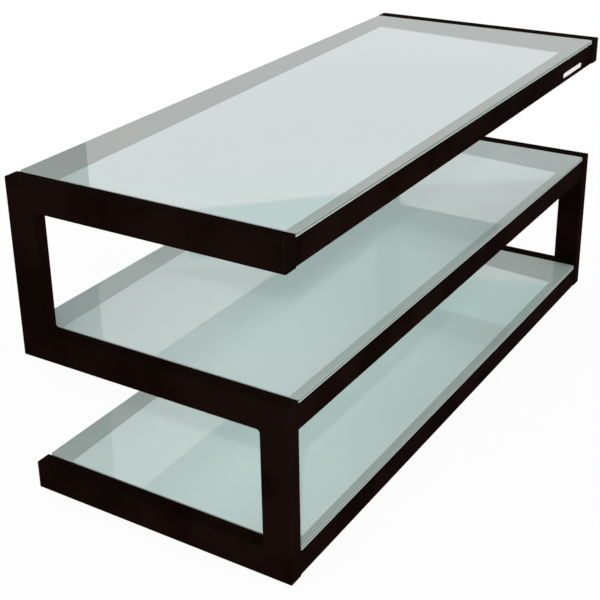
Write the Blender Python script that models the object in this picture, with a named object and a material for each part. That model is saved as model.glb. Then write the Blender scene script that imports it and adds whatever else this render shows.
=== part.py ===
"""Audio video rack with three glass shelves.

Two end frames of welded rectangular tube, each in the shape of the letter S, stand parallel to each
other. Six tube rails join them, one at the front and one at the rear of each level. The rails slide
over stubs on the frames and are locked by grub screws from below. Each pair of rails carries a
toughened glass shelf on thin clear pads.

X runs along the rack, the front is towards -Y and +Z is up. The origin lies on the floor, under the
middle of the rack. Lengths are in metres.
"""
import math

import bmesh
import bpy
from mathutils import Vector

# Whole rack
RACK_LENGTH = 1.100
RACK_DEPTH = 0.450
RACK_HEIGHT = 0.505

# Fits shared by every piece
SEAT_GAP = 0.0003
CUT_OVERRUN = 0.004

# End frame tube, seen from the side of the rack and along it
TUBE_FACE = 0.045
TUBE_WIDTH = 0.025
TUBE_WALL = 0.002
TUBE_EDGE_RADIUS = 0.0014
BAY_CORNER_RADIUS = 0.005

# Ribbed caps that close the two free ends of each frame
CAP_THICKNESS = 0.002
CAP_EDGE = 0.0004
CAP_PLUG_LENGTH = 0.018
CAP_PLUG_WALL = 0.0016
CAP_RIB_COUNT = 3
CAP_RIB_HEIGHT = 0.0012
CAP_RIB_SHARE = 0.3

# Rails between the end frames
RAIL_DEPTH = 0.020
RAIL_WALL = 0.0015
RAIL_EDGE_RADIUS = 0.0014
RAIL_SET_BACK = 0.0015

# Stubs of smaller tube on the frames, over which the rails slide
STUB_LENGTH = 0.030
STUB_WALL = 0.002
STUB_WELD = 0.001

# Grub screws that lock the rails on their stubs
GRUB_RADIUS = 0.0022
GRUB_LENGTH = 0.006
GRUB_SOCKET_RADIUS = 0.0013
GRUB_SOCKET_DEPTH = 0.0025
GRUB_PLACE_SHARE = 0.6

# Glass shelves
GLASS_THICKNESS = 0.006
GLASS_RECESS = 0.0003
GLASS_SIDE_GAP = 0.0015
GLASS_CORNER_RADIUS = 0.005
GLASS_ARRIS = 0.0006

# Clear pads under the glass, with stems that plug into the rails
PAD_RADIUS = 0.005
PAD_THICKNESS = 0.0008
PAD_EDGE = 0.0002
PAD_STEM_RADIUS = 0.002
PAD_STEM_LENGTH = 0.0035
PAD_STUB_SPACE = 0.012

# Glides under the bottom bars, with stems that plug into the tube
GLIDE_RADIUS = 0.009
GLIDE_THICKNESS = 0.002
GLIDE_EDGE = 0.0004
GLIDE_STEM_RADIUS = 0.003
GLIDE_STEM_LENGTH = 0.008
GLIDE_CAP_SPACE = 0.015

# Bare name plate on the upper front rail
PLATE_LENGTH = 0.090
PLATE_HEIGHT = 0.0085
PLATE_THICKNESS = 0.0008
PLATE_EDGE = 0.0002
PLATE_END_INSET = 0.060
PLATE_PLACE_SHARE = 0.36

# Facets
CORNER_STEPS = 3
BAY_CORNER_STEPS = 6
GRUB_SIDES = 12
PAD_SIDES = 16
GLIDE_SIDES = 20
PLATE_END_STEPS = 12
RIM_ANGLE = math.radians(60)
SMOOTH_ANGLE = math.radians(35)

# Levels and planes that follow from the sizes above
HALF_LENGTH = RACK_LENGTH / 2
HALF_DEPTH = RACK_DEPTH / 2
INNER_FACE = HALF_LENGTH - TUBE_WIDTH
FREE_END = HALF_DEPTH - CAP_THICKNESS - SEAT_GAP
FRAME_FOOT = GLIDE_THICKNESS + SEAT_GAP
BOTTOM_BAR_TOP = FRAME_FOOT + TUBE_FACE
MIDDLE_BAR_TOP = (RACK_HEIGHT + BOTTOM_BAR_TOP) / 2
BAR_TOPS = {"top": RACK_HEIGHT, "middle": MIDDLE_BAR_TOP, "bottom": BOTTOM_BAR_TOP}
RAIL_HEIGHT = TUBE_FACE - GLASS_RECESS - GLASS_THICKNESS - PAD_THICKNESS - 2 * SEAT_GAP
RAIL_CENTRE_Y = HALF_DEPTH - RAIL_SET_BACK - RAIL_DEPTH / 2
RAIL_HALF_LENGTH = INNER_FACE - SEAT_GAP
GRUB_X = INNER_FACE - STUB_LENGTH * GRUB_PLACE_SHARE
PAD_X = INNER_FACE - STUB_LENGTH - PAD_STUB_SPACE
GLIDE_Y = HALF_DEPTH - CAP_THICKNESS - CAP_PLUG_LENGTH - GLIDE_CAP_SPACE
ENDS = {"left": -1, "right": 1}
FACES = {"front": -1, "rear": 1}
UP = Vector((0, 0, 1))

# Finishes as colour, roughness and metallic
BLACK_PAINT = ((0.009, 0.007, 0.008, 1.0), 0.38, 0.0)
SHELF_GLASS = ((0.58, 0.68, 0.66, 1.0), 0.04, 0.0)
PLATED_STEEL = ((0.55, 0.55, 0.56, 1.0), 0.30, 1.0)
CLEAR_POLYMER = ((0.75, 0.78, 0.77, 1.0), 0.25, 0.0)
BLACK_POLYMER = ((0.011, 0.010, 0.011, 1.0), 0.45, 0.0)
BLACK_RUBBER = ((0.020, 0.020, 0.020, 1.0), 0.80, 0.0)
WHITE_LACQUER = ((0.80, 0.80, 0.80, 1.0), 0.30, 0.0)


def clear_scene():
    """Remove every object that the scene starts with."""
    for item in list(bpy.data.objects):
        bpy.data.objects.remove(item, do_unlink=True)


def make_material(name, finish):
    """Return a Principled material with a colour, a roughness and a metallic value."""
    colour, roughness, metallic = finish
    material = bpy.data.materials.new(name)
    material.use_nodes = True
    material.diffuse_color = colour
    shader = material.node_tree.nodes["Principled BSDF"]
    shader.inputs["Base Color"].default_value = colour
    shader.inputs["Roughness"].default_value = roughness
    shader.inputs["Metallic"].default_value = metallic
    return material


def add_object(name, bm, material=None):
    """Put a bmesh in the scene as a named object whose round faces are smooth."""
    bmesh.ops.recalc_face_normals(bm, faces=bm.faces)
    mesh = bpy.data.meshes.new(name)
    bm.to_mesh(mesh)
    bm.free()
    mesh.shade_smooth()
    mesh.set_sharp_from_angle(angle=SMOOTH_ANGLE)
    item = bpy.data.objects.new(name, mesh)
    bpy.context.collection.objects.link(item)
    if material:
        mesh.materials.append(material)
    return item


def combine(target, operation, name, bm):
    """Cut a shape from a piece, or join it on, with an exact boolean and a wire helper."""
    helper = add_object(f"{target.name}_{name}", bm)
    helper.display_type = "WIRE"
    helper.hide_render = True
    modifier = target.modifiers.new(name, "BOOLEAN")
    modifier.operation = operation
    modifier.solver = "EXACT"
    modifier.object = helper


def rounded_outline(corners, steps):
    """Turn corners, each a point with its radius, into a closed outline of points."""
    points = []
    for index, (corner, radius) in enumerate(corners):
        here = Vector(corner)
        if not radius:
            points.append(here)
            continue
        to_last = (Vector(corners[index - 1][0]) - here).normalized()
        to_next = (Vector(corners[(index + 1) % len(corners)][0]) - here).normalized()
        half_angle = to_last.angle(to_next) / 2
        centre = here + (to_last + to_next).normalized() * radius / math.sin(half_angle)
        start = here + to_last * radius / math.tan(half_angle) - centre
        end = here + to_next * radius / math.tan(half_angle) - centre
        turn = -start.angle_signed(end) / steps
        for step in range(steps + 1):
            cosine = math.cos(turn * step)
            sine = math.sin(turn * step)
            across = start.x * cosine - start.y * sine
            along = start.x * sine + start.y * cosine
            points.append(centre + Vector((across, along)))
    return points


def rectangle(centre, half_size, inset=0, radius=0, steps=CORNER_STEPS):
    """Return the outline of a rectangle, drawn in by an inset, with its corners rounded."""
    reach_u = half_size[0] - inset
    reach_v = half_size[1] - inset
    signs = ((-1, -1), (1, -1), (1, 1), (-1, 1))
    corners = [(centre[0] + u * reach_u, centre[1] + v * reach_v) for u, v in signs]
    rounding = max(radius - inset, 0)
    return rounded_outline([(corner, rounding) for corner in corners], steps)


def stadium(centre, half_length, radius, steps):
    """Return the outline of a bar with round ends, half its length being to the arcs' centres."""
    points = []
    for way in (1, -1):
        for step in range(steps + 1):
            angle = math.pi * (step / steps - 0.5)
            across = centre[0] + way * (half_length + radius * math.cos(angle))
            points.append((across, centre[1] + way * radius * math.sin(angle)))
    return points


def along_x(point, station):
    """Place a point drawn in Y and Z at a station along X."""
    return Vector((station, point[0], point[1]))


def along_y(point, station):
    """Place a point drawn in X and Z at a station along Y."""
    return Vector((point[0], station, point[1]))


def along_z(point, station):
    """Place a point drawn in X and Y at a station along Z."""
    return Vector((point[0], point[1], station))


def add_stack(bm, place, sections):
    """Join outlines, each at its station, into one closed body."""
    loops = []
    for outline, station in sections:
        loops.append([bm.verts.new(place(point, station)) for point in outline])
    bm.faces.new(loops[0])
    bm.faces.new(list(reversed(loops[-1])))
    for loop, after in zip(loops, loops[1:]):
        for index, vertex in enumerate(loop):
            other = (index + 1) % len(loop)
            bm.faces.new((vertex, after[index], after[other], loop[other]))


def add_prism(bm, place, outline, low, high):
    """Extrude an outline between two stations."""
    add_stack(bm, place, [(outline, low), (outline, high)])


def add_turned(bm, rings, base, sides):
    """Turn rings of radius and height about a vertical axis, each ring round or hexagonal."""
    loops = []
    for radius, height, hexagonal in rings:
        loop = []
        for side in range(sides):
            angle = 2 * math.pi * side / sides
            on_flat = hexagonal and side % 2
            reach = radius * math.cos(math.pi / 6) if on_flat else radius
            offset = Vector((reach * math.cos(angle), reach * math.sin(angle), height))
            loop.append(bm.verts.new(base + offset))
        loops.append(loop)
    bm.faces.new(loops[0])
    bm.faces.new(list(reversed(loops[-1])))
    for loop, after in zip(loops, loops[1:]):
        for side in range(sides):
            other = (side + 1) % sides
            bm.faces.new((loop[side], after[side], after[other], loop[other]))


def add_hole(bm, base, radius, depth, sides):
    """Add the cutter of a vertical hole that starts at a point and goes up."""
    rings = ((radius + SEAT_GAP, -CUT_OVERRUN, False), (radius + SEAT_GAP, depth, False))
    add_turned(bm, rings, base, sides)


def rail_bottom(level):
    """Return the height of a level's rail undersides, flush with the bars beside them."""
    return BAR_TOPS[level] - TUBE_FACE


def rail_place(end, face, level, x):
    """Return a point under a rail, at a distance along it towards one end."""
    return Vector((ENDS[end] * x, FACES[face] * RAIL_CENTRE_Y, rail_bottom(level)))


def rail_section(face, level, inset):
    """Return a rail's cross-section in Y and Z, drawn in by an inset."""
    centre = (FACES[face] * RAIL_CENTRE_Y, rail_bottom(level) + RAIL_HEIGHT / 2)
    half_size = (RAIL_DEPTH / 2, RAIL_HEIGHT / 2)
    return rectangle(centre, half_size, inset, RAIL_EDGE_RADIUS)


def pad_places(face, level):
    """Return where the pads of one rail stand on its top."""
    height = rail_bottom(level) + RAIL_HEIGHT
    y = FACES[face] * RAIL_CENTRE_Y
    return {"left": Vector((-PAD_X, y, height)),
            "middle": Vector((0, y, height)),
            "right": Vector((PAD_X, y, height))}


def frame_outline(inset, end_run):
    """Return the S of an end frame in Y and Z, drawn in by an inset and longer at its free ends."""
    front = -HALF_DEPTH + inset
    rear = HALF_DEPTH - inset
    front_post = -HALF_DEPTH + TUBE_FACE - inset
    rear_post = HALF_DEPTH - TUBE_FACE + inset
    front_end = -FREE_END - end_run
    rear_end = FREE_END + end_run
    top = RACK_HEIGHT - inset
    under_top = RACK_HEIGHT - TUBE_FACE + inset
    middle = MIDDLE_BAR_TOP - inset
    under_middle = MIDDLE_BAR_TOP - TUBE_FACE + inset
    bottom = BOTTOM_BAR_TOP - inset
    foot = FRAME_FOOT + inset
    bay = BAY_CORNER_RADIUS + inset
    corners = [
        ((front_end, top), 0),
        ((rear, top), 0),
        ((rear, under_middle), 0),
        ((front_post, under_middle), bay),
        ((front_post, bottom), bay),
        ((rear_end, bottom), 0),
        ((rear_end, foot), 0),
        ((front, foot), 0),
        ((front, middle), 0),
        ((rear_post, middle), bay),
        ((rear_post, under_top), bay),
        ((front_end, under_top), 0),
    ]
    return rounded_outline(corners, BAY_CORNER_STEPS)


def is_rim(edge):
    """Tell whether an edge of an end frame is a rounded rim, and not a sawn end's edge."""
    at_end = [abs(abs(vertex.co.y) - FREE_END) < CAP_THICKNESS / 2 for vertex in edge.verts]
    return edge.calc_face_angle(0) > RIM_ANGLE and not all(at_end)


def make_end_frame(end, material):
    """Make one S-shaped frame of hollow tube, open at its free ends, with its six rail stubs."""
    way = ENDS[end]
    bm = bmesh.new()
    add_prism(bm, along_x, frame_outline(0, 0), way * INNER_FACE, way * HALF_LENGTH)
    bmesh.ops.recalc_face_normals(bm, faces=bm.faces)
    bm.normal_update()
    rims = [edge for edge in bm.edges if is_rim(edge)]
    bmesh.ops.bevel(bm, geom=rims, offset=TUBE_EDGE_RADIUS, offset_type="OFFSET",
                    segments=CORNER_STEPS, profile=0.5, affect="EDGES")
    frame = add_object(f"end_frame_{end}", bm, material)

    bore = bmesh.new()
    near_wall = way * (INNER_FACE + TUBE_WALL)
    far_wall = way * (HALF_LENGTH - TUBE_WALL)
    add_prism(bore, along_x, frame_outline(TUBE_WALL, CUT_OVERRUN), near_wall, far_wall)
    combine(frame, "DIFFERENCE", "bore", bore)

    stubs = bmesh.new()
    pockets = bmesh.new()
    grub_holes = bmesh.new()
    root = way * (INNER_FACE + STUB_WELD)
    mouth = way * (INNER_FACE - STUB_LENGTH)
    pocket_end = way * (INNER_FACE - STUB_WELD)
    pocket_start = mouth - way * CUT_OVERRUN
    outside = RAIL_WALL + SEAT_GAP
    for level in BAR_TOPS:
        for face in FACES:
            add_prism(stubs, along_x, rail_section(face, level, outside), root, mouth)
            hollow = rail_section(face, level, outside + STUB_WALL)
            add_prism(pockets, along_x, hollow, pocket_start, pocket_end)
            add_hole(grub_holes, rail_place(end, face, level, GRUB_X), GRUB_RADIUS,
                     outside + STUB_WALL + CUT_OVERRUN, GRUB_SIDES)
    combine(frame, "UNION", "stubs", stubs)
    combine(frame, "DIFFERENCE", "stub_pockets", pockets)
    combine(frame, "DIFFERENCE", "grub_holes", grub_holes)

    glide_holes = bmesh.new()
    for face in FACES.values():
        base = Vector((way * (HALF_LENGTH - TUBE_WIDTH / 2), face * GLIDE_Y, FRAME_FOOT))
        add_hole(glide_holes, base, GLIDE_STEM_RADIUS, TUBE_WALL + CUT_OVERRUN, GLIDE_SIDES)
    combine(frame, "DIFFERENCE", "glide_holes", glide_holes)


def make_end_cap(end, level, face, material):
    """Make the cap of one free tube end: a plate with a hollow ribbed plug that grips the bore."""
    way = FACES[face]
    centre = (ENDS[end] * (HALF_LENGTH - TUBE_WIDTH / 2), BAR_TOPS[level] - TUBE_FACE / 2)
    half_size = (TUBE_WIDTH / 2, TUBE_FACE / 2)
    plate = rectangle(centre, half_size, 0, TUBE_EDGE_RADIUS)
    rim = rectangle(centre, half_size, CAP_EDGE, TUBE_EDGE_RADIUS)
    bore = (half_size[0] - TUBE_WALL - SEAT_GAP, half_size[1] - TUBE_WALL - SEAT_GAP)
    rib = rectangle(centre, bore, 0, CAP_PLUG_WALL)
    core = rectangle(centre, bore, CAP_RIB_HEIGHT, CAP_PLUG_WALL + CAP_RIB_HEIGHT)
    hollow_inset = CAP_RIB_HEIGHT + CAP_PLUG_WALL
    hollow = rectangle(centre, bore, hollow_inset)
    root = CAP_THICKNESS
    depths = [(rim, 0), (plate, CAP_EDGE), (plate, root), (core, root)]
    pitch = CAP_PLUG_LENGTH / CAP_RIB_COUNT
    for count in range(1, CAP_RIB_COUNT + 1):
        rib_end = root + pitch * count
        rib_start = rib_end - pitch * CAP_RIB_SHARE
        depths += [(core, rib_start), (rib, rib_start), (rib, rib_end)]
        if count < CAP_RIB_COUNT:
            depths.append((core, rib_end))
    sections = [(outline, way * (HALF_DEPTH - depth)) for outline, depth in depths]
    bm = bmesh.new()
    add_stack(bm, along_y, sections)
    cap = add_object(f"end_cap_{level}_{end}", bm, material)

    pocket = bmesh.new()
    tip = HALF_DEPTH - root - CAP_PLUG_LENGTH - CUT_OVERRUN
    add_prism(pocket, along_y, hollow, way * tip, way * (HALF_DEPTH - root))
    combine(cap, "DIFFERENCE", "pocket", pocket)


def make_rail(face, level, material):
    """Make one tube rail, open at both ends and drilled for its grub screws and pad stems."""
    bm = bmesh.new()
    add_prism(bm, along_x, rail_section(face, level, 0), -RAIL_HALF_LENGTH, RAIL_HALF_LENGTH)
    rail = add_object(f"rail_{face}_{level}", bm, material)

    bore = bmesh.new()
    reach = RAIL_HALF_LENGTH + CUT_OVERRUN
    add_prism(bore, along_x, rail_section(face, level, RAIL_WALL), -reach, reach)
    combine(rail, "DIFFERENCE", "bore", bore)

    holes = bmesh.new()
    for end in ENDS:
        place = rail_place(end, face, level, GRUB_X)
        add_hole(holes, place, GRUB_RADIUS, RAIL_WALL + CUT_OVERRUN, GRUB_SIDES)
    for place in pad_places(face, level).values():
        start = place - UP * (RAIL_WALL + CUT_OVERRUN)
        add_hole(holes, start, PAD_STEM_RADIUS, RAIL_WALL + 2 * CUT_OVERRUN, PAD_SIDES)
    combine(rail, "DIFFERENCE", "holes", holes)


def make_grub_screw(end, face, level, material):
    """Make one grub screw with a hexagon socket, sunk in the underside of a rail."""
    rings = (
        (GRUB_SOCKET_RADIUS, GRUB_SOCKET_DEPTH, True),
        (GRUB_SOCKET_RADIUS, 0, True),
        (GRUB_RADIUS, 0, False),
        (GRUB_RADIUS, GRUB_LENGTH, False),
    )
    bm = bmesh.new()
    add_turned(bm, rings, rail_place(end, face, level, GRUB_X) + UP * SEAT_GAP, GRUB_SIDES)
    add_object(f"grub_screw_{level}_{face}_{end}", bm, material)


def make_glass_shelf(level, material):
    """Make one toughened glass shelf with rounded corners and ground edges."""
    half_size = (INNER_FACE - GLASS_SIDE_GAP, HALF_DEPTH - RAIL_SET_BACK)
    top = BAR_TOPS[level] - GLASS_RECESS
    low = top - GLASS_THICKNESS
    face = rectangle((0, 0), half_size, GLASS_ARRIS, GLASS_CORNER_RADIUS, BAY_CORNER_STEPS)
    edge = rectangle((0, 0), half_size, 0, GLASS_CORNER_RADIUS, BAY_CORNER_STEPS)
    sections = [(face, low), (edge, low + GLASS_ARRIS), (edge, top - GLASS_ARRIS), (face, top)]
    bm = bmesh.new()
    add_stack(bm, along_z, sections)
    add_object(f"glass_shelf_{level}", bm, material)


def make_glass_pads(level, material):
    """Make the clear pads of one level, each with a stem that plugs into a rail."""
    rings = (
        (PAD_STEM_RADIUS, -PAD_STEM_LENGTH, False),
        (PAD_STEM_RADIUS, 0, False),
        (PAD_RADIUS, 0, False),
        (PAD_RADIUS, PAD_THICKNESS - PAD_EDGE, False),
        (PAD_RADIUS - PAD_EDGE, PAD_THICKNESS, False),
    )
    for face in FACES:
        for spot, place in pad_places(face, level).items():
            bm = bmesh.new()
            add_turned(bm, rings, place + UP * SEAT_GAP, PAD_SIDES)
            add_object(f"glass_pad_{level}_{face}_{spot}", bm, material)


def make_glide(end, face, material):
    """Make one rubber glide, a disc on the floor with a stem that plugs into a bottom bar."""
    base = Vector((ENDS[end] * (HALF_LENGTH - TUBE_WIDTH / 2), FACES[face] * GLIDE_Y, 0))
    rings = (
        (GLIDE_RADIUS - GLIDE_EDGE, 0, False),
        (GLIDE_RADIUS, GLIDE_EDGE, False),
        (GLIDE_RADIUS, GLIDE_THICKNESS, False),
        (GLIDE_STEM_RADIUS, GLIDE_THICKNESS, False),
        (GLIDE_STEM_RADIUS, GLIDE_THICKNESS + GLIDE_STEM_LENGTH, False),
    )
    bm = bmesh.new()
    add_turned(bm, rings, base, GLIDE_SIDES)
    add_object(f"glide_{face}_{end}", bm, material)


def make_name_plate(material):
    """Make the bare plate with round ends on the face of the upper front rail."""
    radius = PLATE_HEIGHT / 2
    half_length = PLATE_LENGTH / 2 - radius
    across = INNER_FACE - PLATE_END_INSET - PLATE_LENGTH / 2
    centre = (across, rail_bottom("top") + RAIL_HEIGHT * PLATE_PLACE_SHARE)
    back = -HALF_DEPTH + RAIL_SET_BACK - SEAT_GAP
    front = back - PLATE_THICKNESS
    plate = stadium(centre, half_length, radius, PLATE_END_STEPS)
    rim = stadium(centre, half_length, radius - PLATE_EDGE, PLATE_END_STEPS)
    bm = bmesh.new()
    add_stack(bm, along_y, [(plate, back), (plate, front + PLATE_EDGE), (rim, front)])
    add_object("name_plate", bm, material)


def main():
    """Build the rack, end by end and then level by level."""
    clear_scene()
    paint = make_material("black_paint", BLACK_PAINT)
    glass = make_material("shelf_glass", SHELF_GLASS)
    steel = make_material("plated_steel", PLATED_STEEL)
    clear = make_material("clear_polymer", CLEAR_POLYMER)
    polymer = make_material("black_polymer", BLACK_POLYMER)
    rubber = make_material("black_rubber", BLACK_RUBBER)
    lacquer = make_material("white_lacquer", WHITE_LACQUER)

    for end in ENDS:
        make_end_frame(end, paint)
        make_end_cap(end, "top", "front", polymer)
        make_end_cap(end, "bottom", "rear", polymer)
        for face in FACES:
            make_glide(end, face, rubber)
    for level in BAR_TOPS:
        for face in FACES:
            make_rail(face, level, paint)
            for end in ENDS:
                make_grub_screw(end, face, level, steel)
        make_glass_pads(level, clear)
        make_glass_shelf(level, glass)
    make_name_plate(lacquer)


main()
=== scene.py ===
"""Looks of the audio video rack: its finishes, the white print under its glass, and a plain studio."""
from __future__ import annotations

import logging
import math
from collections.abc import Iterable, Mapping, Sequence
from dataclasses import dataclass, field, replace
from enum import Enum
from typing import Any, Union

import bmesh
import bpy
from mathutils import Matrix, Vector


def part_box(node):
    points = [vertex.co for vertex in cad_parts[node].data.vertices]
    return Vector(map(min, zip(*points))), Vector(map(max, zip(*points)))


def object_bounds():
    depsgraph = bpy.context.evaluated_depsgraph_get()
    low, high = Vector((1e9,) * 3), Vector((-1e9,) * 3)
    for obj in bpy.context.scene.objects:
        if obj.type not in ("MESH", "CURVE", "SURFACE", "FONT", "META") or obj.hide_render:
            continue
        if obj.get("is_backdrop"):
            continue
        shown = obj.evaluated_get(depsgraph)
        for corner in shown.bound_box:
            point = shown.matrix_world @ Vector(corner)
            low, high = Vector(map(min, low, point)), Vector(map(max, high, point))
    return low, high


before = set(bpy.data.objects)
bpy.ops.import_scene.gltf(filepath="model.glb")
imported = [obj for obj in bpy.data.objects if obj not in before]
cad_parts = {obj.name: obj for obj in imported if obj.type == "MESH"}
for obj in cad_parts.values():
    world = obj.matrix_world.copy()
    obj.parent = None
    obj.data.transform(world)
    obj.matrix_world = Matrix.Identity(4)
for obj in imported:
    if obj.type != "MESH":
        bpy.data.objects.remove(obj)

LOG = logging.getLogger("rack")
MILLIMETRE = 0.001
UP = (0.0, 0.0, 1.0)
FORWARD = (0.0, -1.0, 0.0)
PURE_WHITE = (1.0, 1.0, 1.0)
NOISE_MEAN = 0.5
BEVEL_SAMPLES = 6
# Where the painted highlight along an edge's crest rises.
EDGE_HIGHLIGHT_BAND = (0.03, 0.30)

# A colour in linear light; a place in metres or three factors; where a smooth step begins and ends.
Colour = tuple[float, float, float]
Point = tuple[float, float, float]
Band = tuple[float, float]
Setting = Union[float, Sequence[float], "Signal", bpy.types.NodeSocket]


class Level(Enum):
    """The three levels of the rack, as its nodes name them."""

    TOP = "top"
    MIDDLE = "middle"
    BOTTOM = "bottom"


class Face(Enum):
    """The two long sides of the rack, as its nodes name them."""

    FRONT = "front"
    REAR = "rear"


class End(Enum):
    """The two ends of the rack, as its nodes name them."""

    LEFT = "left"
    RIGHT = "right"


class Spot(Enum):
    """The three places of the pads along a rail, as their nodes name them."""

    LEFT = "left"
    MIDDLE = "middle"
    RIGHT = "right"


@dataclass(frozen=True)
class Signal:
    """A number that varies over a surface; arithmetic on it adds Math nodes."""

    graph: Graph
    socket: bpy.types.NodeSocket

    def math(self, operation: str, *others: Setting, clamp: bool = False) -> Signal:
        """Add one Math node whose first value is this signal.

        Args:
            operation: The Math node's operation.
            others: The other values of the node.
            clamp: Whether the result is held between 0 and 1.

        Returns:
            The node's result.
        """
        return self.graph.math(operation, self, *others, clamp=clamp)

    def __add__(self, other: Setting) -> Signal:
        """Return the sum of this signal and another value."""
        return self.math("ADD", other)

    def __radd__(self, other: Setting) -> Signal:
        """Return the sum of another value and this signal."""
        return self.graph.math("ADD", other, self)

    def __sub__(self, other: Setting) -> Signal:
        """Return this signal less another value."""
        return self.math("SUBTRACT", other)

    def __rsub__(self, other: Setting) -> Signal:
        """Return another value less this signal."""
        return self.graph.math("SUBTRACT", other, self)

    def __mul__(self, other: Setting) -> Signal:
        """Return the product of this signal and another value."""
        return self.math("MULTIPLY", other)

    def __rmul__(self, other: Setting) -> Signal:
        """Return the product of another value and this signal."""
        return self.graph.math("MULTIPLY", other, self)

    def smooth(self, low: float, high: float) -> Signal:
        """Return 0 below one value and 1 above another, with a smooth rise between them.

        Args:
            low: Where the rise begins.
            high: Where the rise ends.

        Returns:
            The smooth step.
        """
        node = self.graph.node(
            "ShaderNodeMapRange",
            {"interpolation_type": "SMOOTHSTEP"},
            {"Value": self, "From Min": low, "From Max": high},
        )
        return Signal(self.graph, node.outputs["Result"])


class Graph:
    """The node tree of one material, emptied and built up by the finishes."""

    def __init__(self, tree: bpy.types.NodeTree) -> None:
        """Take a node tree and empty it.

        Args:
            tree: The tree of a material or of the world.
        """
        self.tree = tree
        tree.nodes.clear()

    def node(
        self,
        kind: str,
        settings: Mapping[str, Any] | None = None,
        sockets: Mapping[str | int, Setting] | None = None,
    ) -> bpy.types.Node:
        """Add a node, set it up, and then fill its sockets.

        Args:
            kind: The node's type name.
            settings: Properties of the node.
            sockets: Values or links by a socket's identifier, name or index.

        Returns:
            The new node.
        """
        node = self.tree.nodes.new(kind)
        for name, value in (settings or {}).items():
            setattr(node, name, value)
        for key, value in (sockets or {}).items():
            self._fill(self._find(node, key), value)
        return node

    @staticmethod
    def _find(node: bpy.types.Node, key: str | int) -> bpy.types.NodeSocket:
        """Return an input socket by its identifier, its name or its index.

        Args:
            node: The node that has the socket.
            key: What names the socket.

        Returns:
            The socket.
        """
        for socket in node.inputs:
            if socket.identifier == key:
                return socket
        return node.inputs[key]

    def _fill(self, socket: bpy.types.NodeSocket, value: Setting) -> None:
        """Link a socket to a signal or an output, or give it a plain value.

        Args:
            socket: The socket to fill.
            value: A signal, another node's output, a number, a colour or a vector.
        """
        if isinstance(value, Signal):
            self.tree.links.new(value.socket, socket)
        elif isinstance(value, bpy.types.NodeSocket):
            self.tree.links.new(value, socket)
        elif isinstance(value, (int, float)):
            socket.default_value = value
        elif socket.type == "RGBA":
            socket.default_value = (*value[:3], 1.0)
        else:
            socket.default_value = tuple(value)

    def math(self, operation: str, *values: Setting, clamp: bool = False) -> Signal:
        """Add a Math node.

        Args:
            operation: The node's operation.
            values: Its values, in order.
            clamp: Whether the result is held between 0 and 1.

        Returns:
            The node's result.
        """
        settings = {"operation": operation, "use_clamp": clamp}
        node = self.node("ShaderNodeMath", settings, dict(enumerate(values)))
        return Signal(self, node.outputs[0])

    def vector_math(self, operation: str, *vectors: Setting) -> bpy.types.Node:
        """Add a Vector Math node.

        Args:
            operation: The node's operation.
            vectors: Its vectors, in order.

        Returns:
            The node, whose outputs are Vector and Value.
        """
        return self.node("ShaderNodeVectorMath", {"operation": operation}, dict(enumerate(vectors)))

    def mix(self, factor: Setting, first: Setting, second: Setting) -> bpy.types.NodeSocket:
        """Blend two colours.

        Args:
            factor: How much of the second colour shows.
            first: The colour at 0.
            second: The colour at 1.

        Returns:
            The blended colour.
        """
        sockets = {"Factor_Float": factor, "A_Color": first, "B_Color": second}
        node = self.node("ShaderNodeMix", {"data_type": "RGBA"}, sockets)
        return next(socket for socket in node.outputs if socket.identifier == "Result_Color")

    def place(self) -> bpy.types.NodeSocket:
        """Return the surface's place in the rack's own coordinates, in metres."""
        return self.node("ShaderNodeTexCoord").outputs["Object"]

    def axes(self) -> dict[str, Signal]:
        """Return the surface's x, y and z in metres, or for the world its direction's."""
        split = self.node("ShaderNodeSeparateXYZ", None, {0: self.place()})
        return {name: Signal(self, split.outputs[name]) for name in ("X", "Y", "Z")}

    def stretched(self, scale: Sequence[float]) -> bpy.types.NodeSocket:
        """Return the surface's place with each axis multiplied by a factor.

        Args:
            scale: The factors along X, Y and Z.

        Returns:
            The stretched place.
        """
        return self.vector_math("MULTIPLY", self.place(), scale).outputs["Vector"]

    def noise(self, size: float, detail: float = 2.0, place: Setting | None = None) -> Signal:
        """Return soft noise from 0 to 1 whose features have a real size.

        Args:
            size: The features' size in metres.
            detail: How many finer octaves are added.
            place: The coordinates, by default the rack's own.

        Returns:
            The noise.
        """
        sockets = {"Vector": place or self.place(), "Scale": 1.0 / size, "Detail": detail}
        return Signal(self, self.node("ShaderNodeTexNoise", None, sockets).outputs[0])

    def bump(self, height: Signal, depth: float) -> bpy.types.NodeSocket:
        """Turn a height from 0 to 1 into a normal.

        Args:
            height: The height.
            depth: The relief's real depth in metres.

        Returns:
            The bumped normal.
        """
        sockets = {"Height": height, "Distance": depth, "Strength": 1.0}
        return self.node("ShaderNodeBump", None, sockets).outputs["Normal"]

    def facing(self, axis: Sequence[float]) -> Signal:
        """Return how far the surface faces along an axis, from -1 to 1.

        Args:
            axis: A unit vector in the rack's coordinates.

        Returns:
            The cosine between the face's normal and the axis.
        """
        normal = self.node("ShaderNodeNewGeometry").outputs["True Normal"]
        return Signal(self, self.vector_math("DOT_PRODUCT", normal, axis).outputs["Value"])

    def edges(self, radius: float) -> Signal:
        """Return a mask that is 1 on the crests of edges and 0 on flat faces.

        Args:
            radius: How far from an edge the mask reaches, in metres.

        Returns:
            The mask.
        """
        bevel = self.node("ShaderNodeBevel", {"samples": BEVEL_SAMPLES}, {"Radius": radius})
        flat = self.node("ShaderNodeNewGeometry").outputs["True Normal"]
        likeness = self.vector_math("DOT_PRODUCT", bevel.outputs["Normal"], flat).outputs["Value"]
        return 1 - Signal(self, likeness)

    def principled(self, sockets: Mapping[str | int, Setting]) -> bpy.types.NodeSocket:
        """Add a Principled shader.

        Args:
            sockets: Its values and links.

        Returns:
            The shader's output.
        """
        return self.node("ShaderNodeBsdfPrincipled", None, sockets).outputs["BSDF"]

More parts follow.
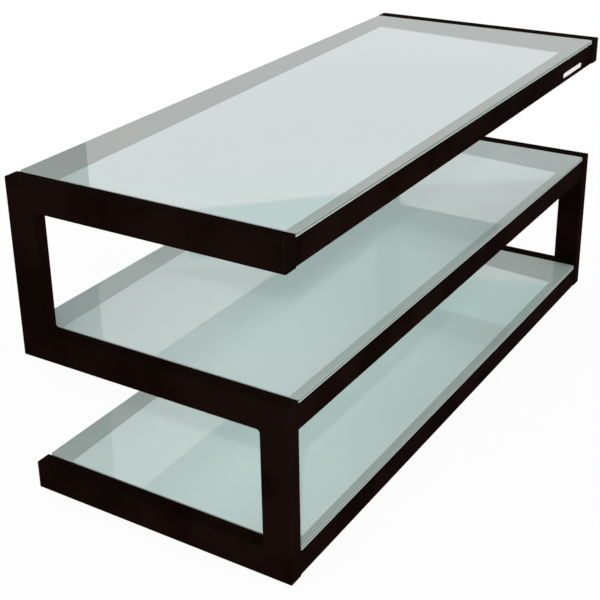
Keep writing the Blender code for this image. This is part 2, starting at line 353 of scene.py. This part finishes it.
    def mix_shaders(self, factor: Setting, first: Setting, second: Setting) -> bpy.types.NodeSocket:
        """Blend two shaders.

        Args:
            factor: How much of the second shader shows.
            first: The shader at 0.
            second: The shader at 1.

        Returns:
            The blended shader.
        """
        node = self.node("ShaderNodeMixShader", None, {0: factor, 1: first, 2: second})
        return node.outputs["Shader"]

    def seen_rays(self) -> Signal:
        """Return 1 for rays from the camera, from gloss and through glass, and 0 for others."""
        path = self.node("ShaderNodeLightPath")
        camera = Signal(self, path.outputs["Is Camera Ray"])
        gloss = Signal(self, path.outputs["Is Glossy Ray"])
        through = Signal(self, path.outputs["Is Transmission Ray"])
        return (camera + gloss).math("ADD", through, clamp=True)

    def finish(self, shader: bpy.types.NodeSocket) -> None:
        """Lead a shader to the tree's output.

        Args:
            shader: The shader that the surface or the world takes.
        """
        kind = "ShaderNodeOutputMaterial"
        if any(world.node_tree == self.tree for world in bpy.data.worlds):
            kind = "ShaderNodeOutputWorld"
        self.node(kind, None, {"Surface": shader})


@dataclass(frozen=True)
class Finish:
    """A finish, with the record's slot that it belongs to, or for a stage piece a name of its own."""

    slot: str

    def label(self) -> str:
        """Return the name of the finish's material."""
        return f"finish_{self.slot}"

    def material(self) -> bpy.types.Material:
        """Return the finish's material, made once.

        Returns:
            The material, under the finish's own name.
        """
        name = self.label()
        made = bpy.data.materials.get(name)
        if made is None:
            made = bpy.data.materials.new(name)
            made.use_nodes = True
            graph = Graph(made.node_tree)
            graph.finish(self.shade(graph))
        return made

    def shade(self, graph: Graph) -> bpy.types.NodeSocket:
        """Build the finish's shader.

        Args:
            graph: The material's empty node tree.

        Returns:
            The shader.
        """
        raise NotImplementedError


@dataclass(frozen=True)
class PowderCoat(Finish):
    """Matt black powder coat with a fine orange peel, a little paler along its edges: partly wear, partly
    a painted highlight.
    """

    slot: str = "black_paint"
    deep: Colour = (0.0031, 0.0012, 0.0009)
    worn: Colour = (0.0072, 0.0034, 0.0028)
    # Pale edge colour: partly wear, partly a painted highlight on the edges' crests.
    edge: Colour = (0.020, 0.013, 0.010)
    peel_size: float = 0.0016
    peel_depth: float = 0.00003
    grain_size: float = 0.0003
    grain_depth: float = 0.000012
    cloud_size: float = 0.12
    cloud_band: Band = (0.35, 0.65)
    cloud_share: float = 0.7
    edge_highlight_reach: float = 0.0018
    edge_highlight_share: float = 0.8
    roughness: float = 0.46
    grain_spread: float = 0.16
    cloud_spread: float = 0.08
    shine: float = 0.0005

    def shade(self, graph: Graph) -> bpy.types.NodeSocket:
        """Build the powder coat's shader.

        Args:
            graph: The material's empty node tree.

        Returns:
            The shader.
        """
        cloud = graph.noise(self.cloud_size, detail=3.0).smooth(*self.cloud_band)
        grain = graph.noise(self.grain_size, detail=1.0)
        peel = graph.noise(self.peel_size, detail=1.0)
        # Painted highlight, partly wear: the edges' crests turn towards the pale edge colour.
        edge_highlight = graph.edges(self.edge_highlight_reach).smooth(*EDGE_HIGHLIGHT_BAND)
        wear = cloud * self.cloud_share + grain * (1 - self.cloud_share)
        colour = graph.mix(edge_highlight * self.edge_highlight_share, graph.mix(wear, self.deep, self.worn), self.edge)
        relief = peel + grain * (self.grain_depth / self.peel_depth)
        roughness = self.roughness + (grain - NOISE_MEAN) * self.grain_spread
        return graph.principled({
            "Base Color": colour,
            "Roughness": roughness + (cloud - NOISE_MEAN) * self.cloud_spread,
            "Specular IOR Level": self.shine,
            "Normal": graph.bump(relief, self.peel_depth),
        })


@dataclass(frozen=True)
class Borders:
    """How far the white print stays from a pane's edges, at both ends of each edge.

    The print is laid by hand, so it is never quite square on its pane.
    """

    left: tuple[float, float]
    right: tuple[float, float]
    front: tuple[float, float]
    rear: tuple[float, float]


NO_BORDERS = Borders(left=(0.0, 0.0), right=(0.0, 0.0), front=(0.0, 0.0), rear=(0.0, 0.0))


@dataclass(frozen=True)
class PrintedGlass(Finish):
    """Glossy glass with a satin white print inside grey borders, and ground green edges.

    The grey of the borders is painted shade, standing in for the shade seen through clear glass,
    and the paler, greener underside is partly the bare paint and partly painted light from above.
    The arris is the chamfer round each face. The turn band holds the cosines between which a face
    counts as lying flat, and the glint band the heights over which the edge's painted highlight ends.
    """

    slot: str = "shelf_glass"
    level: Level = Level.TOP
    borders: Borders = NO_BORDERS
    lowest: Point = (0.0, 0.0, 0.0)
    highest: Point = (1.0, 1.0, 1.0)
    print_edge: float = 0.0004
    white: Colour = (0.520, 0.600, 0.592)
    white_deep: Colour = (0.500, 0.584, 0.575)
    # The underside is paler and greener: partly the bare paint, partly painted light that comes through
    # the pane.
    underside_paint_and_light: Colour = (0.68, 0.85, 0.82)
    border_underside_paint_and_light: Colour = (0.60, 0.72, 0.69)
    # Painted shade: the grey border stands in for the shade seen through the clear glass.
    border: Colour = (0.335, 0.362, 0.347)
    border_deep: Colour = (0.302, 0.332, 0.318)
    edge: Colour = (0.135, 0.178, 0.160)
    # Painted highlight: the light that gathers in the lower part of the ground edge.
    edge_glint: Colour = (0.350, 0.395, 0.370)
    glint_band: Band = (0.0012, 0.0030)
    arris: Colour = (0.310, 0.360, 0.340)
    arris_width: float = 0.0011
    arris_share: float = 0.6
    turn_band: Band = (0.25, 0.6)
    mottle_size: float = 0.003
    mottle_share: float = 0.35
    cloud_size: float = 0.22
    wave_size: float = 0.30
    wave_stretch: Point = (1.0, 0.3, 1.0)
    wave_depth: float = 0.00003
    wipe_size: float = 0.03
    wipe_stretch: Point = (0.3, 1.0, 1.0)
    wipe_band: Band = (0.5, 0.8)
    wipe_haze: float = 0.015
    edge_haze: float = 0.3
    arris_haze: float = 0.2
    roughness: float = 0.012
    bare_index: float = 1.30
    field_gloss: float = 0.65

    def label(self) -> str:
        """Return the name of this pane's material."""
        return f"finish_{self.slot}_{self.level.value}"

    def inside(self, place: Mapping[str, Signal], borders: Borders) -> Signal:
        """Return how far a place lies inside the borders of the pane.

        Args:
            place: The surface's x, y and z.
            borders: The borders' widths at the ends of each edge.

        Returns:
            The distance to the nearest border in metres, positive inside.
        """
        along = place["X"] - self.lowest[0]
        across = place["Y"] - self.lowest[1]
        length, depth = (high - low for low, high in zip(self.lowest[:2], self.highest[:2]))

        def width(ends: tuple[float, float], run: Signal, whole: float) -> Signal:
            """Return a border's width where it changes evenly from one end to the other."""
            return run * ((ends[1] - ends[0]) / whole) + ends[0]

        left = along - width(borders.left, across, depth)
        right = length - along - width(borders.right, across, depth)
        front = across - width(borders.front, along, length)
        rear = depth - across - width(borders.rear, along, length)
        return left.math("MINIMUM", right).math("MINIMUM", front.math("MINIMUM", rear))

    def shade(self, graph: Graph) -> bpy.types.NodeSocket:
        """Build the printed glass's shader.

        Args:
            graph: The material's empty node tree.

        Returns:
            The shader.
        """
        place = graph.axes()
        field_mask = self.inside(place, self.borders).smooth(-self.print_edge, self.print_edge)
        rim = 1 - self.inside(place, NO_BORDERS).smooth(self.arris_width / 2, self.arris_width)
        upward = graph.facing(UP)
        side = 1 - upward.math("ABSOLUTE").smooth(*self.turn_band)
        below = (upward * -1.0).smooth(*self.turn_band)
        # Painted highlight along the foot of the side faces.
        glint_mask = 1 - (place["Z"] - self.lowest[2]).smooth(*self.glint_band)
        mottle = graph.noise(self.mottle_size, detail=3.0)
        cloud = graph.noise(self.cloud_size, detail=2.0)
        tone = mottle * self.mottle_share + cloud * (1 - self.mottle_share)
        # Faces looking down take the underside colours: partly bare paint, partly painted light.
        white = graph.mix(below, graph.mix(tone, self.white, self.white_deep), self.underside_paint_and_light)
        border = graph.mix(below, graph.mix(tone, self.border, self.border_deep), self.border_underside_paint_and_light)
        # The print shows inside the grey border of painted shade.
        colour = graph.mix(field_mask, border, white)
        colour = graph.mix(rim * self.arris_share, colour, self.arris)
        colour = graph.mix(side, colour, graph.mix(glint_mask, self.edge, self.edge_glint))
        wipes = graph.noise(self.wipe_size, detail=4.0, place=graph.stretched(self.wipe_stretch))
        haze = self.roughness + wipes.smooth(*self.wipe_band) * self.wipe_haze
        wave = graph.noise(self.wave_size, detail=0.0, place=graph.stretched(self.wave_stretch))
        return graph.principled({
            "Base Color": colour,
            "Roughness": haze + side * self.edge_haze + rim * self.arris_haze,
            "IOR": self.bare_index,
            "Coat Weight": field_mask * self.field_gloss,
            "Normal": graph.bump(wave, self.wave_depth),
        })


# The lower panes' colours are painted paler and greener: painted light that comes through the panes above
# them.
PANES = (
    PrintedGlass(
        level=Level.TOP,
        borders=Borders(
            left=(0.0012, 0.0012), right=(0.1151, 0.0797), front=(0.0149, 0.0237), rear=(0.0735, 0.0475),
        ),
    ),
    PrintedGlass(
        level=Level.MIDDLE,
        borders=Borders(
            left=(0.0012, 0.0012), right=(0.1072, 0.0714), front=(0.0144, 0.0144), rear=(0.0525, 0.0263),
        ),
        # Painted light: a paler border than the top pane's.
        border=(0.366, 0.416, 0.401),
        border_deep=(0.330, 0.381, 0.367),
    ),
    PrintedGlass(
        level=Level.BOTTOM,
        borders=Borders(
            left=(0.0012, 0.0012), right=(0.1000, 0.0553), front=(0.0123, 0.0159), rear=(0.0442, 0.0181),
        ),
        # Painted light: a paler, greener print and border than the top pane's.
        white=(0.538, 0.630, 0.615),
        white_deep=(0.517, 0.613, 0.597),
        border=(0.343, 0.392, 0.371),
        border_deep=(0.309, 0.358, 0.341),
    ),
)


@dataclass(frozen=True)
class ZincPlate(Finish):
    """Bright zinc plate with turning marks and dull spots."""

    slot: str = "plated_steel"
    bright: Colour = (0.62, 0.63, 0.65)
    dull: Colour = (0.45, 0.46, 0.46)
    mark_size: float = 0.0002
    mark_stretch: Point = (0.1, 0.1, 1.0)
    mark_depth: float = 0.00001
    spot_size: float = 0.0012
    spot_haze: float = 0.2
    roughness: float = 0.24

    def shade(self, graph: Graph) -> bpy.types.NodeSocket:
        """Build the zinc plate's shader.

        Args:
            graph: The material's empty node tree.

        Returns:
            The shader.
        """
        spots = graph.noise(self.spot_size, detail=3.0)
        marks = graph.noise(self.mark_size, detail=1.0, place=graph.stretched(self.mark_stretch))
        return graph.principled({
            "Base Color": graph.mix(spots, self.bright, self.dull),
            "Metallic": 1.0,
            "Roughness": self.roughness + spots * self.spot_haze,
            "Normal": graph.bump(marks, self.mark_depth),
        })


@dataclass(frozen=True)
class ClearPolymer(Finish):
    """Soft clear polymer with a slightly hazy skin."""

    slot: str = "clear_polymer"
    clear: Colour = (0.86, 0.89, 0.88)
    hazy: Colour = (0.80, 0.84, 0.83)
    haze_size: float = 0.0015
    haze_spread: float = 0.2
    roughness: float = 0.12
    index: float = 1.46
    clearness: float = 0.85

    def shade(self, graph: Graph) -> bpy.types.NodeSocket:
        """Build the clear polymer's shader.

        Args:
            graph: The material's empty node tree.

        Returns:
            The shader.
        """
        haze = graph.noise(self.haze_size, detail=2.0)
        return graph.principled({
            "Base Color": graph.mix(haze, self.clear, self.hazy),
            "Roughness": self.roughness + haze * self.haze_spread,
            "IOR": self.index,
            "Transmission Weight": self.clearness,
        })


@dataclass(frozen=True)
class MouldedPolymer(Finish):
    """Black moulded polymer with a spark-eroded grain and a painted highlight along its edges."""

    slot: str = "black_polymer"
    deep: Colour = (0.0024, 0.0011, 0.0010)
    pale: Colour = (0.0052, 0.0027, 0.0025)
    # Painted highlight colour along the cap's edges.
    edge: Colour = (0.018, 0.014, 0.013)
    grain_size: float = 0.0005
    grain_depth: float = 0.00002
    grain_spread: float = 0.2
    edge_highlight_reach: float = 0.0012
    edge_highlight_share: float = 0.6
    roughness: float = 0.5
    shine: float = 0.001

    def shade(self, graph: Graph) -> bpy.types.NodeSocket:
        """Build the moulded polymer's shader.

        Args:
            graph: The material's empty node tree.

        Returns:
            The shader.
        """
        grain = graph.noise(self.grain_size, detail=2.0)
        # Painted highlight along the edges' crests.
        edge_highlight = graph.edges(self.edge_highlight_reach).smooth(*EDGE_HIGHLIGHT_BAND)
        body = graph.mix(grain, self.deep, self.pale)
        return graph.principled({
            "Base Color": graph.mix(edge_highlight * self.edge_highlight_share, body, self.edge),
            "Roughness": self.roughness + (grain - NOISE_MEAN) * self.grain_spread,
            "Specular IOR Level": self.shine,
            "Normal": graph.bump(grain, self.grain_depth),
        })


@dataclass(frozen=True)
class Rubber(Finish):
    """Black rubber, matt and a little dusty."""

    slot: str = "black_rubber"
    deep: Colour = (0.012, 0.012, 0.012)
    dusty: Colour = (0.045, 0.043, 0.040)
    grain_size: float = 0.0004
    grain_depth: float = 0.00003
    grain_spread: float = 0.15
    dust_size: float = 0.004
    dust_band: Band = (0.45, 0.8)
    roughness: float = 0.78

    def shade(self, graph: Graph) -> bpy.types.NodeSocket:
        """Build the rubber's shader.

        Args:
            graph: The material's empty node tree.

        Returns:
            The shader.
        """
        dust = graph.noise(self.dust_size, detail=4.0).smooth(*self.dust_band)
        grain = graph.noise(self.grain_size, detail=1.0)
        return graph.principled({
            "Base Color": graph.mix(dust, self.deep, self.dusty),
            "Roughness": self.roughness + grain * self.grain_spread,
            "Normal": graph.bump(grain, self.grain_depth),
        })


@dataclass(frozen=True)
class PlateLacquer(Finish):
    """White lacquer of the bare plate, over a brushed ground that shows at its rim."""

    slot: str = "white_lacquer"
    white: Colour = (0.61, 0.61, 0.605)
    white_deep: Colour = (0.57, 0.57, 0.57)
    rim: Colour = (0.34, 0.35, 0.36)
    rim_band: Band = (0.75, 0.98)
    rim_metal: float = 0.8
    brush_size: float = 0.0003
    brush_stretch: Point = (0.03, 1.0, 1.0)
    brush_depth: float = 0.000006
    brush_spread: float = 0.12
    roughness: float = 0.26

    def shade(self, graph: Graph) -> bpy.types.NodeSocket:
        """Build the lacquer's shader.

        Args:
            graph: The material's empty node tree.

        Returns:
            The shader.
        """
        brush = graph.noise(self.brush_size, detail=2.0, place=graph.stretched(self.brush_stretch))
        rim = 1 - graph.facing(FORWARD).smooth(*self.rim_band)
        return graph.principled({
            "Base Color": graph.mix(rim, graph.mix(brush, self.white, self.white_deep), self.rim),
            "Roughness": self.roughness + brush * self.brush_spread,
            "Metallic": rim * self.rim_metal,
            "Normal": graph.bump(brush, self.brush_depth),
        })


@dataclass(frozen=True)
class StageCloth(Finish):
    """The cloth of the studio's screens, which only gloss sees."""

    slot: str = "green_cloth"
    tone: Colour = (0.19, 0.32, 0.30)
    weave_size: float = 0.01
    weave_lift: float = 1.1
    roughness: float = 0.9
    shine: float = 0.1

    def shade(self, graph: Graph) -> bpy.types.NodeSocket:
        """Build the cloth's shader.

        Args:
            graph: The material's empty node tree.

        Returns:
            The shader.
        """
        weave = graph.noise(self.weave_size, detail=2.0)
        paler = tuple(tone * self.weave_lift for tone in self.tone)
        return graph.principled({
            "Base Color": graph.mix(weave, self.tone, paler),
            "Roughness": self.roughness,
            "Specular IOR Level": self.shine,
        })


GREEN_CLOTH = StageCloth()
DARK_CLOTH = StageCloth(slot="dark_cloth", tone=(0.02, 0.05, 0.05))
PALE_CLOTH = StageCloth(slot="pale_cloth", tone=(0.50, 0.44, 0.44))


@dataclass(frozen=True)
class StudioFloor(Finish):
    """The pale floor, which shows white but keeps the rack's shadow.

    The lift is how white it shows near the rack, and the shade band holds the distances from the
    rack's middle over which the shadow fades out.
    """

    slot: str = "studio_floor"
    paint: Colour = (0.93, 0.93, 0.93)
    cloud_size: float = 0.9
    cloud_drop: float = 0.985
    near_lift: float = 0.92
    shade_band: Band = (0.7, 1.8)

    def shade(self, graph: Graph) -> bpy.types.NodeSocket:
        """Build the floor's shader.

        Args:
            graph: The material's empty node tree.

        Returns:
            The shader.
        """
        cloud = graph.noise(self.cloud_size, detail=3.0)
        duller = tuple(tone * self.cloud_drop for tone in self.paint)
        matt = graph.node("ShaderNodeBsdfDiffuse", None, {"Color": graph.mix(cloud, self.paint, duller)})
        glow = graph.node("ShaderNodeEmission", None, {"Color": PURE_WHITE, "Strength": 1.0})
        away = graph.vector_math("LENGTH", graph.place()).outputs["Value"]
        far = Signal(graph, away).smooth(*self.shade_band)
        factor = graph.seen_rays() * (far * (1.0 - self.near_lift) + self.near_lift)
        return graph.mix_shaders(factor, matt.outputs[0], glow.outputs[0])


@dataclass
class Metalwork:
    """The painted tube: two end frames, six rails and what closes or locks them."""

    coat: PowderCoat = field(default_factory=PowderCoat)
    screw: ZincPlate = field(default_factory=ZincPlate)
    cap: MouldedPolymer = field(default_factory=MouldedPolymer)
    glide: Rubber = field(default_factory=Rubber)

    def dress(self) -> None:
        """Give every node of the metalwork its finish."""
        for end in End:
            dress_node(f"end_frame_{end.value}", self.coat)
            for level in (Level.TOP, Level.BOTTOM):
                dress_node(f"end_cap_{level.value}_{end.value}", self.cap)
            for face in Face:
                dress_node(f"glide_{face.value}_{end.value}", self.glide)
        for level in Level:
            for face in Face:
                dress_node(f"rail_{face.value}_{level.value}", self.coat)
                for end in End:
                    dress_node(f"grub_screw_{level.value}_{face.value}_{end.value}", self.screw)


@dataclass
class Shelf:
    """One printed glass shelf with its pads."""

    glass: PrintedGlass
    pad: ClearPolymer = field(default_factory=ClearPolymer)

    def dress(self) -> None:
        """Fit the print to the pane and give the glass and its pads their finishes."""
        level = self.glass.level.value
        low, high = (tuple(corner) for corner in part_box(f"glass_shelf_{level}"))
        dress_node(f"glass_shelf_{level}", replace(self.glass, lowest=low, highest=high))
        for face in Face:
            for spot in Spot:
                dress_node(f"glass_pad_{level}_{face.value}_{spot.value}", self.pad)


@dataclass
class Plate:
    """The bare plate on the upper front rail."""

    lacquer: PlateLacquer = field(default_factory=PlateLacquer)

    def dress(self) -> None:
        """Give the plate its finish."""
        dress_node("name_plate", self.lacquer)


@dataclass(frozen=True)
class PhotoCamera:
    """The camera, at the place and angles that a fit to the photo's corners gave."""

    place: Point = (-1.6592, -0.9346, 1.0744)
    yaw: float = 56.950
    pitch: float = -23.326
    roll: float = -1.384
    focal_pixels: float = 1223.3
    centre_pixel: tuple[float, float] = (276.0, 240.0)
    image_pixels: float = 600.0
    sensor: float = 36.0
    clip: tuple[float, float] = (0.05, 100.0)

    def make(self) -> bpy.types.Object:
        """Make the scene's camera.

        Returns:
            The camera.
        """
        yaw, pitch, roll = (math.radians(angle) for angle in (self.yaw, self.pitch, self.roll))
        ahead = Vector((math.sin(yaw) * math.cos(pitch), math.cos(yaw) * math.cos(pitch), math.sin(pitch)))
        level_right = Vector((math.cos(yaw), -math.sin(yaw), 0.0))
        level_up = level_right.cross(ahead)
        right = level_right * math.cos(roll) + level_up * math.sin(roll)
        up = level_up * math.cos(roll) - level_right * math.sin(roll)
        data = bpy.data.cameras.new("photo_camera")
        data.sensor_width = self.sensor
        data.lens = self.focal_pixels / self.image_pixels * self.sensor
        half = self.image_pixels / 2
        data.shift_x = (half - self.centre_pixel[0]) / self.image_pixels
        data.shift_y = (self.centre_pixel[1] - half) / self.image_pixels
        data.clip_start, data.clip_end = self.clip
        camera = bpy.data.objects.new("photo_camera", data)
        turn = Matrix((right, up, -ahead)).transposed().to_4x4()
        camera.matrix_world = Matrix.Translation(self.place) @ turn
        bpy.context.scene.collection.objects.link(camera)
        bpy.context.scene.camera = camera
        return camera


@dataclass(frozen=True)
class Screen:
    """A cloth screen beyond the rack, placed by bearings and rises, in degrees, from the camera's spot.

    Its feet are the rises of its lower left and right corners.
    """

    name: str
    left_bearing: float
    right_bearing: float
    feet: tuple[float, float]
    top: float
    distance: float
    cloth: StageCloth

    def corner(self, camera: PhotoCamera, bearing: float, rise: float) -> Vector:
        """Return a corner of the screen.

        Args:
            camera: The camera whose spot on the floor the bearing is taken from.
            bearing: The corner's bearing in degrees, from the rack's rear towards its right.
            rise: The corner's angle above the floor in degrees.

        Returns:
            The corner.
        """
        turn, climb = math.radians(bearing), math.radians(rise)
        spot = Vector((camera.place[0], camera.place[1], 0.0))
        return spot + self.distance * Vector((math.sin(turn), math.cos(turn), math.tan(climb)))

    def make(self, camera: PhotoCamera) -> bpy.types.Object:
        """Make the screen, which throws no shadow and shows only in gloss.

        Args:
            camera: The camera whose spot on the floor the bearings are taken from.

        Returns:
            The screen.
        """
        corners = (
            self.corner(camera, self.left_bearing, self.feet[0]),
            self.corner(camera, self.right_bearing, self.feet[1]),
            self.corner(camera, self.right_bearing, self.top),
            self.corner(camera, self.left_bearing, self.top),
        )
        bm = bmesh.new()
        bm.faces.new([bm.verts.new(corner) for corner in corners])
        mesh = bpy.data.meshes.new(self.name)
        bm.to_mesh(mesh)
        bm.free()
        mesh.materials.append(self.cloth.material())
        screen = bpy.data.objects.new(self.name, mesh)
        screen.visible_camera = False
        screen.visible_diffuse = False
        screen.visible_shadow = False
        bpy.context.scene.collection.objects.link(screen)
        screen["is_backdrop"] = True
        return screen


@dataclass(frozen=True)
class Lamp:
    """A round lamp aimed at the rack's middle, which gloss doesn't see."""

    name: str
    place: Point
    size: float
    power: float

    def make(self) -> bpy.types.Object:
        """Make the lamp.

        Returns:
            The lamp.
        """
        data = bpy.data.lights.new(self.name, "AREA")
        data.shape = "DISK"
        data.size = self.size
        data.energy = self.power
        lamp = bpy.data.objects.new(self.name, data)
        lamp.visible_glossy = False
        low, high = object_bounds()
        aim = (low + high) / 2 - Vector(self.place)
        turn = aim.to_track_quat("-Z", "Y").to_matrix().to_4x4()
        lamp.matrix_world = Matrix.Translation(self.place) @ turn
        bpy.context.scene.collection.objects.link(lamp)
        return lamp


@dataclass
class Studio:
    """A plain white studio: a pale floor, bright walls, a small lamp and screens for the gloss.

    The walls end and the ceiling starts at two sines of the rise above the floor.
    """

    camera: PhotoCamera = field(default_factory=PhotoCamera)
    floor: StudioFloor = field(default_factory=StudioFloor)
    screens: tuple[Screen, ...] = (
        Screen(
            name="side_screen", left_bearing=43.0, right_bearing=47.78,
            feet=(14.0, 14.0), top=34.0, distance=12.0, cloth=DARK_CLOTH,
        ),
        Screen(
            name="high_screen", left_bearing=52.5, right_bearing=63.0,
            feet=(21.7, 20.9), top=23.6, distance=60.0, cloth=GREEN_CLOTH,
        ),
        Screen(
            name="wall_screen", left_bearing=47.78, right_bearing=64.0,
            feet=(23.9, 23.9), top=38.0, distance=60.0, cloth=PALE_CLOTH,
        ),
        Screen(
            name="far_screen", left_bearing=63.0, right_bearing=80.0,
            feet=(20.4, 18.6), top=24.0, distance=58.0, cloth=PALE_CLOTH,
        ),
        Screen(
            name="upper_screen", left_bearing=64.0, right_bearing=80.0,
            feet=(24.0, 24.0), top=40.0, distance=59.0, cloth=GREEN_CLOTH,
        ),
    )
    floor_reach: float = 14.0
    floor_cells: int = 8
    long_wall_light: float = 3.0
    end_wall_light: float = 1.2
    ceiling_light: float = 0.02
    wall_top: float = 0.60
    ceiling_start: float = 0.80
    lamps: tuple[Lamp, ...] = (
        Lamp(name="near_lamp", place=(-1.56, -0.83, 1.18), size=0.05, power=6.5),
    )

    def light_room(self) -> None:
        """Give the world bright walls and a dimmer ceiling, which camera and gloss see as white."""
        world = bpy.data.worlds.new("white_room")
        world.use_nodes = True
        bpy.context.scene.world = world
        graph = Graph(world.node_tree)
        seen = graph.seen_rays()
        way = graph.axes()
        upward = way["Z"].smooth(self.wall_top, self.ceiling_start)
        wall = way["Y"] * way["Y"] * (self.long_wall_light - self.end_wall_light) + self.end_wall_light
        light = upward * self.ceiling_light + (1 - upward) * wall
        strength = seen + (1 - seen) * light
        white = graph.node("ShaderNodeBackground", None, {"Color": PURE_WHITE, "Strength": strength})
        graph.finish(white.outputs[0])

    def make_floor(self) -> bpy.types.Object:
        """Make the floor that the rack stands on.

        Returns:
            The floor.
        """
        bm = bmesh.new()
        cells = self.floor_cells
        bmesh.ops.create_grid(bm, x_segments=cells, y_segments=cells, size=self.floor_reach)
        mesh = bpy.data.meshes.new("studio_floor")
        bm.to_mesh(mesh)
        bm.free()
        mesh.materials.append(self.floor.material())
        floor = bpy.data.objects.new("studio_floor", mesh)
        bpy.context.scene.collection.objects.link(floor)
        floor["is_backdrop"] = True
        return floor

    def build(self) -> None:
        """Make the camera, the lights, the floor and the screens."""
        self.camera.make()
        self.light_room()
        for lamp in self.lamps:
            lamp.make()
        self.make_floor()
        for screen in self.screens:
            screen.make(self.camera)
        bpy.context.scene.view_settings.view_transform = "Standard"


def dress_node(name: str, finish: Finish) -> None:
    """Give a node of the rack a finish.

    Args:
        name: The node's name.
        finish: The finish that it takes.
    """
    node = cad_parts[name]
    material = finish.material()
    for slot in node.material_slots:
        slot.link = "OBJECT"
        slot.material = material
    report(node, finish)


def report(piece: bpy.types.Object, finish: Finish) -> None:
    """Log a piece with its size and its finish.

    Args:
        piece: The piece.
        finish: The finish that it has.
    """
    size = " x ".join(f"{side / MILLIMETRE:.1f}" for side in piece.dimensions)
    LOG.info("%s, %s mm, %s", piece.name, size, finish.slot)


def main() -> None:
    """Dress the rack and set up the studio round it."""
    logging.basicConfig(level=logging.INFO, format="%(name)s: %(message)s")
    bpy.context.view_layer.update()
    Metalwork().dress()
    for pane in PANES:
        Shelf(pane).dress()
    Plate().dress()
    Studio().build()


if __name__ == "__main__":
    main()
